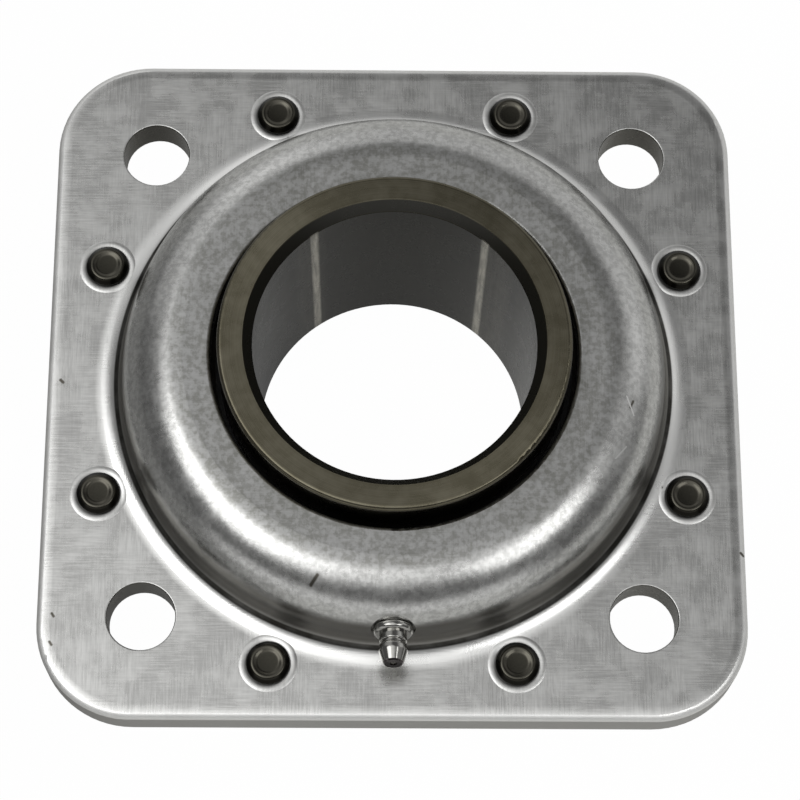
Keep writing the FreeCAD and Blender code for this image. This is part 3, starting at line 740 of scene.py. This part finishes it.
# The flank is painted black as shade
tone = coated(tree, rivet_dark, (scale_marks, rivet_light), (on_crest, rivet_crest_colour),
              (mask(tree, from_middle, grows=flank_shade_starts), rivet_flank_painted_shade))
cover(tree, {"Base Color": tone, "Metallic": 1.0,
             "Roughness": weighed(tree, rivet_roughness, (scale_marks, scale_mark_roughness)),
             "Normal": add(tree, "ShaderNodeBump", {"Height": scale_marks, "Distance": scale_mark_depth})})

half_rivet = rivet_profile()
whole_rivet = [(radius, -height) for radius, height in reversed(half_rivet[1:])] + half_rivet
rivets = repeated("flange_rivets_dressed", spun("one_rivet", whole_rivet, rivet_sides),
                  {"Count": rivet_count, "Circle radius": rivet_circle_radius,
                   "First angle": radians(rivet_first_angle), "Finish": blackened})
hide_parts("flange_rivets")
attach(rivets, "housing")


# Grease fitting
# A steel grease fitting turned from bar and bright zinc plated, driven into a spot face on the
# dome. Its check ball and spring close the tip from inside. Its end is painted dark, partly old
# grease and partly a painted dark reflection.

nipple = next(mount for mount in frame["record"]["mounts"] if mount["name"] == "grease_nipple")
tip_place = Vector(nipple["pos_m"])
tip_axis = Vector(nipple["axis"])
tip_grease_and_shade_colour = "#4d4848"

# Sizes in millimetres, depths in metres; the painted darkening of the end starts a little short of the tip
tip_darkening_starts = (-0.35, -0.2)
fitting_dark, fitting_light = "#93928e", "#b8b7b3"
fitting_haze_size = 1.2
tool_line_sizes, tool_line_depth = (0.6, 0.12, 0.6), 0.000003
fitting_roughness, fitting_haze_roughness = 0.07, 0.08
wire_dark, wire_light = "#7a7975", "#a3a29e"
drawing_mark_size = 0.15
wire_roughness, drawing_mark_roughness = 0.2, 0.15
spring_merge_distance = 0.000001

# Bright zinc plate: nearly a mirror, with a faint haze and the lines of turning
bright, tree = new_material("bright_zinc_plated_steel")
place = millimetres(tree)
haze = pattern(tree, place, fitting_haze_size, roughness=0.5)
tool_lines = pattern(tree, place, tool_line_sizes, detail=2.0, roughness=0.5)
from_tip = add(tree, "ShaderNodeVectorMath", {0: place, 1: tip_place * 1000}, operation="SUBTRACT")
from_tip = add(tree, "ShaderNodeVectorMath", {0: from_tip, 1: tip_axis}, operation="DOT_PRODUCT")
# The end's dark coat is partly old grease and partly a painted dark reflection
tone = coated(tree, fitting_dark, (haze, fitting_light),
              (mask(tree, from_tip, grows=tip_darkening_starts), tip_grease_and_shade_colour))
cover(tree, {"Base Color": tone, "Metallic": 1.0,
             "Roughness": weighed(tree, fitting_roughness, (haze, fitting_haze_roughness)),
             "Normal": add(tree, "ShaderNodeBump", {"Height": tool_lines, "Distance": tool_line_depth})})
finish_in(bright, "grease_fitting")

# Drawn wire: smooth grey; its marks are drawn coarser than the real ones, so that they show
wire, tree = new_material("drawn_spring_wire")
drawing_marks = pattern(tree, millimetres(tree), drawing_mark_size, detail=2.0, roughness=0.5)
cover(tree, {"Base Color": coated(tree, wire_dark, (drawing_marks, wire_light)), "Metallic": 1.0,
             "Roughness": weighed(tree, wire_roughness, (drawing_marks, drawing_mark_roughness))})


def merged_copy(name):
    """A copy of a CAD piece's mesh with its doubled points merged."""
    bm = bmesh.new()
    bm.from_mesh(nodes[name].data)
    bmesh.ops.remove_doubles(bm, verts=bm.verts, dist=spring_merge_distance)
    bmesh.ops.recalc_face_normals(bm, faces=bm.faces)
    mesh = bpy.data.meshes.new(name + "_coil")
    bm.to_mesh(mesh)
    bm.free()
    mesh.shade_smooth()
    return mesh


# The spring as a smooth merged copy of the CAD spring, kept at its rest length with the housing
coil = merged_copy("grease_spring")
coil.materials.append(wire)
spring = bpy.data.objects.new("grease_spring_dressed", coil)
scene.collection.objects.link(spring)
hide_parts("grease_spring")
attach(spring, "housing")
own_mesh(spring)
